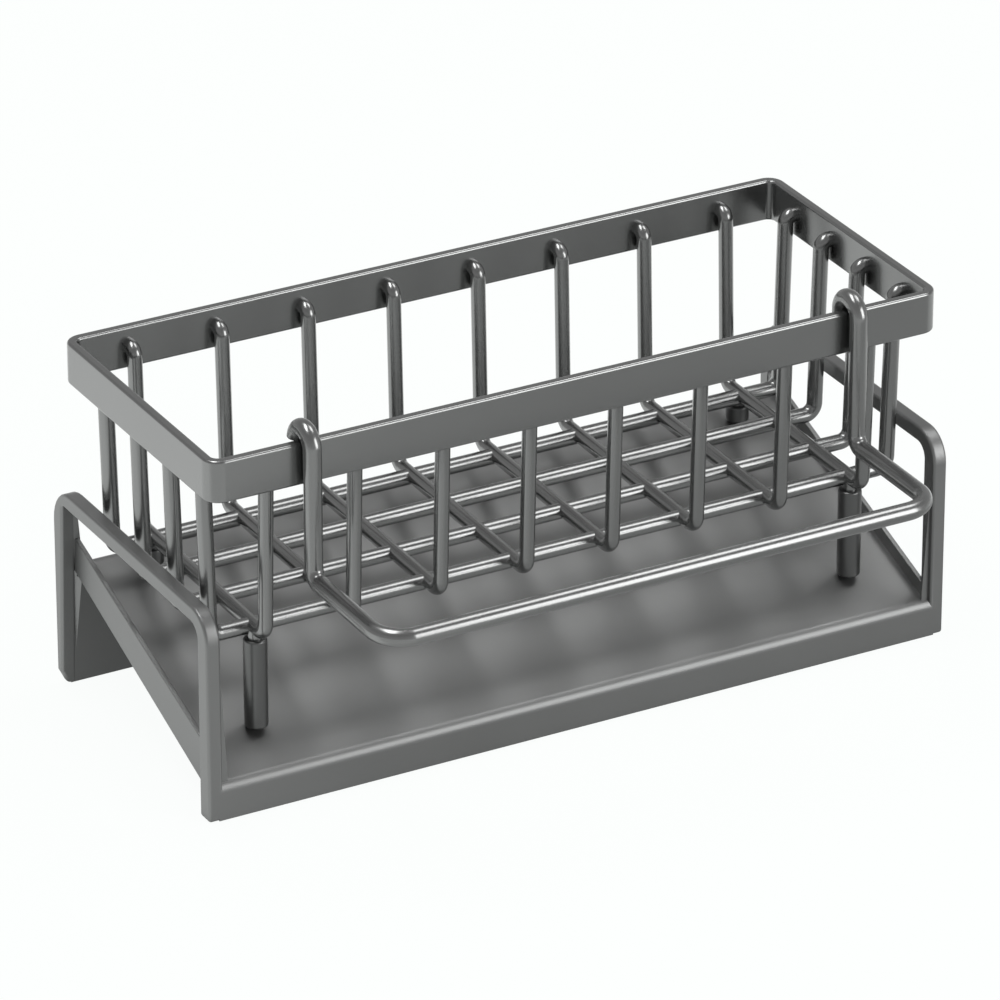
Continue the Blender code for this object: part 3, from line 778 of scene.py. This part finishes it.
def end_frame(sizes, side):
    """Inverted U: a block with two round corners, an opening cut out and a sloped heel."""
    x = TRAY_MIDDLE.x + side * (TRAY_SIZE.x - sizes.frame_width) / 2
    outer = [(TRAY_LOW.y, TRAY_LOW.z), (TRAY_LOW.y, TRAY_HIGH.z),
             (TRAY_HIGH.y, TRAY_HIGH.z), (TRAY_HIGH.y, TRAY_LOW.z)]
    block = side_block("end_frame", x, sizes.frame_width, outer,
                       [0, sizes.front_radius, sizes.back_radius, 0])
    front = TRAY_LOW.y + sizes.front_leg
    back = TRAY_HIGH.y - sizes.back_leg
    foot = TRAY_HIGH.y - sizes.back_foot
    top = TRAY_HIGH.z - sizes.top_bar
    below = TRAY_LOW.z - sizes.top_bar
    foot_below = foot + (foot - back) * (TRAY_LOW.z - below) / (top - TRAY_LOW.z)
    opening = side_block("opening", x, sizes.frame_width * 2,
                         [(front, below), (front, top), (back, top), (foot_below, below)],
                         [0, sizes.front_inner_radius, sizes.back_inner_radius, 0])
    heel = front_block("heel", side, [(-sizes.heel_width, 2 * sizes.heel_height),
                                      (-sizes.heel_width, -sizes.heel_height),
                                      (2 * sizes.heel_width, -sizes.heel_height)],
                       back, TRAY_HIGH.y + sizes.back_leg)
    for cutter in (opening, heel):
        cut_out(block, cutter)
    round_long_edges(block, sizes.frame_edge)
    return block


def side_wall(sizes, side):
    x = TRAY_MIDDLE.x + side * (TRAY_SIZE.x / 2 - wall_middle(sizes))
    front = TRAY_LOW.y + sizes.front_leg / 2
    back = TRAY_HIGH.y - sizes.back_leg / 2
    outline = [
        (front, floor_height(sizes, front) - sizes.wall_front_drop),
        (front, floor_height(sizes, front) + sizes.wall_rise),
        (back, floor_height(sizes, back) + sizes.wall_rise),
        (back, floor_height(sizes, back) - sizes.wall_back_drop),
    ]
    wall = side_block("side_wall", x, sizes.wall_thickness, outline, [0] * len(outline))
    round_long_edges(wall, sizes.wall_edge)
    return wall


def front_rib(sizes, side):
    """Thin rib beside a front leg, narrowing to nothing near the leg's top."""
    root = sizes.frame_width / 2 + sizes.face_step
    tip = sizes.frame_width + sizes.front_rib_reach
    outline = [(root, sizes.frame_edge), (root, sizes.front_rib_height),
               (sizes.frame_width, sizes.front_rib_height), (tip, sizes.front_rib_full),
               (tip, sizes.frame_edge)]
    front = TRAY_LOW.y + sizes.front_rib_setback
    return front_block("front_rib", side, outline, front, front + sizes.front_rib_thickness)


def back_rib(sizes, side):
    """Rib as deep as the back leg, whose front face leans back with that of the leg."""
    root = sizes.frame_width / 2 + sizes.face_step
    full = sizes.frame_width + sizes.wall_thickness
    top = TRAY_HIGH.z - sizes.back_radius / 2
    outline = [(root, sizes.sheet), (root, top), (sizes.frame_width + sizes.back_rib_top, top),
               (full, sizes.back_rib_full), (full, sizes.back_height),
               (sizes.frame_width + sizes.face_step, sizes.sheet)]
    front = TRAY_HIGH.y - sizes.back_leg + sizes.face_step
    rib = front_block("back_rib", side, outline, front, TRAY_HIGH.y - sizes.back_rib_setback)
    height = TRAY_HIGH.z - sizes.top_bar - TRAY_LOW.z
    edit(rib)
    bpy.ops.mesh.select_all(action="SELECT")
    bpy.ops.mesh.bisect(plane_co=(0, front, TRAY_LOW.z + height),
                        plane_no=(0, -height, sizes.back_foot - sizes.back_leg),
                        use_fill=True, clear_outer=True)
    bpy.ops.mesh.select_all(action="SELECT")
    bpy.ops.mesh.normals_make_consistent(inside=False)
    leave_edit()
    return rib


class SINKORG_OT_drip_tray(Operator):
    """Form the drip tray: bent sheet, end frames, side walls and ribs, joined into one shell"""
    bl_idname = "sink_organizer.drip_tray"
    bl_label = "Drip Tray"

    def execute(self, context):
        sizes = context.scene.sink_tray
        tray = bent_sheet(sizes)
        for side in (-1, 1):
            cut_out(tray, floor_trim(sizes, side))
        for side in (-1, 1):
            for make_part in (end_frame, side_wall, front_rib, back_rib):
                combine(tray, make_part(sizes, side), "UNION", "MANIFOLD")
        shade_smoothly(tray)
        finish_piece(tray, "drip_tray_shell", "tray", "drip_tray",
                     tray_coating(context.scene.sink_finishes))
        return {"FINISHED"}


# Stage


def aim_at(thing, target):
    thing.rotation_euler = (Vector(target) - thing.location).to_track_quat("-Z", "Y").to_euler()


def softbox(name, place, target, width, height, power):
    bpy.ops.object.light_add(type="AREA", location=place)
    light = bpy.context.active_object
    light.name = name
    light.data.shape = "RECTANGLE"
    light.data.size = width
    light.data.size_y = height
    light.data.energy = power
    aim_at(light, target)
    return light


def ramp(nodes, links, value, start, end, low, high):
    """A smooth step from one level to another along a value."""
    step = nodes.new("ShaderNodeMapRange")
    step.interpolation_type = "SMOOTHSTEP"
    step.inputs["From Min"].default_value = start
    step.inputs["From Max"].default_value = end
    step.inputs["To Min"].default_value = low
    step.inputs["To Max"].default_value = high
    links.new(value, step.inputs["Value"])
    return step.outputs["Result"]


def joined(nodes, links, operation, first, second):
    """Two values put through one step of arithmetic."""
    step = nodes.new("ShaderNodeMath")
    step.operation = operation
    links.new(first, step.inputs[0])
    links.new(second, step.inputs[1])
    return step.outputs[0]


def painted_light_pool(nodes, links, finishes):
    """Painted light on the floor as gloss mirrors it: a glow lit at the sides and behind, and
    painted shade in front and under the tray.
    """
    place = nodes.new("ShaderNodeTexCoord")
    split = nodes.new("ShaderNodeSeparateXYZ")
    links.new(place.outputs["Object"], split.inputs[0])
    x, y = split.outputs["X"], split.outputs["Y"]
    left = ramp(nodes, links, x, TRAY_LOW.x + POOL_EDGE, TRAY_LOW.x - POOL_EDGE, 0.0, 1.0)
    back = ramp(nodes, links, y, TRAY_HIGH.y, TRAY_HIGH.y + POOL_EDGE, 0.0, 1.0)
    fade = ramp(nodes, links, y, TRAY_LOW.y - POOL_REACH, TRAY_LOW.y, 0.0, 1.0)
    lit = joined(nodes, links, "MAXIMUM", joined(nodes, links, "MULTIPLY", left, fade), back)
    lit = ramp(nodes, links, lit, 0.0, 1.0, 0.0, finishes.floor_lit)
    right = ramp(nodes, links, x, *RIGHT_POOL_START, 0.0, finishes.floor_right)
    right = joined(nodes, links, "MULTIPLY", right,
                   ramp(nodes, links, y, *RIGHT_POOL_FRONT, 0.0, 1.0))
    lit = joined(nodes, links, "MAXIMUM", lit, right)
    along = nodes.new("ShaderNodeVectorMath")
    along.operation = "DOT_PRODUCT"
    along.inputs[1].default_value = FRONT_FALL
    links.new(place.outputs["Object"], along.inputs[0])
    dim = ramp(nodes, links, along.outputs["Value"], FRONT_FALL_START, FRONT_FALL_END,
               finishes.floor_dim, 2 * finishes.floor_dim)
    return joined(nodes, links, "MAXIMUM", lit, dim)


def pale_floor(finishes):
    """White floor that shows as the white background and keeps the soft shadow; to gloss it glows
    with a painted pool of light and shade.
    """
    material = bpy.data.materials.new("pale floor")
    material.use_nodes = True
    nodes, links = material.node_tree.nodes, material.node_tree.links
    shader = nodes["Principled BSDF"]
    shader.inputs["Base Color"].default_value = (*finishes.floor_colour, 1)
    shader.inputs["Roughness"].default_value = FLOOR_ROUGHNESS
    shader.inputs["Specular IOR Level"].default_value = 0.0
    rays = nodes.new("ShaderNodeLightPath")
    white = nodes.new("ShaderNodeEmission")
    white.inputs["Color"].default_value = (*finishes.floor_colour, 1)
    seen = nodes.new("ShaderNodeMath")
    seen.operation = "MULTIPLY"
    seen.inputs[1].default_value = SEEN_SHARE
    links.new(rays.outputs["Is Camera Ray"], seen.inputs[0])
    direct = nodes.new("ShaderNodeMixShader")
    links.new(seen.outputs[0], direct.inputs["Fac"])
    links.new(shader.outputs["BSDF"], direct.inputs[1])
    links.new(white.outputs["Emission"], direct.inputs[2])
    # Painted pool of light: the floor glows, for gloss only, brighter at the left and back and
    # darker in front
    painted_pool = nodes.new("ShaderNodeEmission")
    painted_pool.inputs["Color"].default_value = (*finishes.floor_colour, 1)
    links.new(painted_light_pool(nodes, links, finishes), painted_pool.inputs["Strength"])
    mirrored = nodes.new("ShaderNodeMath")
    mirrored.operation = "MULTIPLY"
    mirrored.inputs[1].default_value = MIRRORED_SHARE
    gloss_or_glass = joined(nodes, links, "MAXIMUM", rays.outputs["Is Glossy Ray"],
                            rays.outputs["Is Transmission Ray"])
    links.new(gloss_or_glass, mirrored.inputs[0])
    whole = nodes.new("ShaderNodeMixShader")
    links.new(mirrored.outputs[0], whole.inputs["Fac"])
    links.new(direct.outputs["Shader"], whole.inputs[1])
    links.new(painted_pool.outputs["Emission"], whole.inputs[2])
    links.new(whole.outputs["Shader"], nodes["Material Output"].inputs["Surface"])
    return material


def studio_world(finishes):
    """Even studio surroundings, brighter near the floor than overhead, and white to the camera."""
    world = bpy.data.worlds.new("studio")
    bpy.context.scene.world = world
    world.use_nodes = True
    nodes, links = world.node_tree.nodes, world.node_tree.links
    room = nodes["Background"]
    direction = nodes.new("ShaderNodeTexCoord")
    split = nodes.new("ShaderNodeSeparateXYZ")
    links.new(direction.outputs["Generated"], split.inputs[0])
    height = ramp(nodes, links, split.outputs["Z"], 0.0, SKY_TOP, finishes.sky_low,
                  finishes.sky_high)
    links.new(height, room.inputs["Strength"])
    room.inputs["Color"].default_value = (1, 1, 1, 1)
    white = nodes.new("ShaderNodeBackground")
    white.inputs["Color"].default_value = (*finishes.floor_colour, 1)
    rays = nodes.new("ShaderNodeLightPath")
    mix = nodes.new("ShaderNodeMixShader")
    links.new(rays.outputs["Is Camera Ray"], mix.inputs["Fac"])
    links.new(room.outputs["Background"], mix.inputs[1])
    links.new(white.outputs["Background"], mix.inputs[2])
    links.new(mix.outputs["Shader"], nodes["World Output"].inputs["Surface"])


class SINKORG_OT_stage(Operator):
    """Set up the pale floor, the soft lights and the camera"""
    bl_idname = "sink_organizer.stage"
    bl_label = "Stage"

    def execute(self, context):
        finishes = context.scene.sink_finishes
        middle = (CAD_BOX[0] + CAD_BOX[1]) / 2
        bpy.ops.mesh.primitive_plane_add(size=FLOOR_SIZE, location=(0, 0, -FLOOR_DROP))
        floor = bpy.context.active_object
        floor.name = "floor"
        floor.data.materials.append(pale_floor(finishes))
        softbox("high_softbox", HIGH_PLACE, middle, *HIGH_SIZE, finishes.high_light)
        softbox("front_softbox", FRONT_PLACE, middle, *FRONT_SIZE, finishes.front_light)
        softbox("left_softbox", LEFT_PLACE, middle, *LEFT_SIZE, finishes.left_light)
        studio_world(finishes)

        camera_data = bpy.data.cameras.new("camera")
        camera_data.lens = CAMERA_LENS
        camera_data.sensor_width = CAMERA_SENSOR
        camera_data.clip_start = CAMERA_NEAR
        camera = bpy.data.objects.new("camera", camera_data)
        context.scene.collection.objects.link(camera)
        camera.location = CAMERA_PLACE
        aim_at(camera, CAMERA_AIM)
        context.scene.camera = camera
        context.scene.view_settings.view_transform = "Standard"
        return {"FINISHED"}


class SINKORG_PT_panel(Panel):
    bl_label = "Sink Organizer"
    bl_idname = "SINKORG_PT_panel"
    bl_space_type = "VIEW_3D"
    bl_region_type = "UI"
    bl_category = "Sink Organizer"

    def draw(self, context):
        layout = self.layout
        for operator in OPERATORS:
            layout.operator(operator.bl_idname)
        for holder, group in SETTINGS:
            box = layout.box()
            settings = getattr(context.scene, holder)
            for key in group.__annotations__:
                box.prop(settings, key)


SETTINGS = (
    ("sink_basket", BasketSizes),
    ("sink_towel_bar", TowelBarSizes),
    ("sink_tray", TraySizes),
    ("sink_finishes", Finishes),
)
OPERATORS = (
    SINKORG_OT_rim_band,
    SINKORG_OT_cross_wires,
    SINKORG_OT_long_wires,
    SINKORG_OT_feet,
    SINKORG_OT_towel_bar,
    SINKORG_OT_drip_tray,
    SINKORG_OT_stage,
)


def register():
    for holder, group in SETTINGS:
        bpy.utils.register_class(group)
        setattr(bpy.types.Scene, holder, PointerProperty(type=group))
    for operator in OPERATORS:
        bpy.utils.register_class(operator)
    bpy.utils.register_class(SINKORG_PT_panel)


def unregister():
    bpy.utils.unregister_class(SINKORG_PT_panel)
    for operator in reversed(OPERATORS):
        bpy.utils.unregister_class(operator)
    for holder, group in reversed(SETTINGS):
        delattr(bpy.types.Scene, holder)
        bpy.utils.unregister_class(group)


def main():
    register()
    deselect_everything()
    bpy.ops.sink_organizer.rim_band()
    bpy.ops.sink_organizer.cross_wires()
    bpy.ops.sink_organizer.long_wires()
    bpy.ops.sink_organizer.feet()
    bpy.ops.sink_organizer.towel_bar()
    bpy.ops.sink_organizer.drip_tray()
    bpy.ops.sink_organizer.stage()


if __name__ == "__main__":
    main()
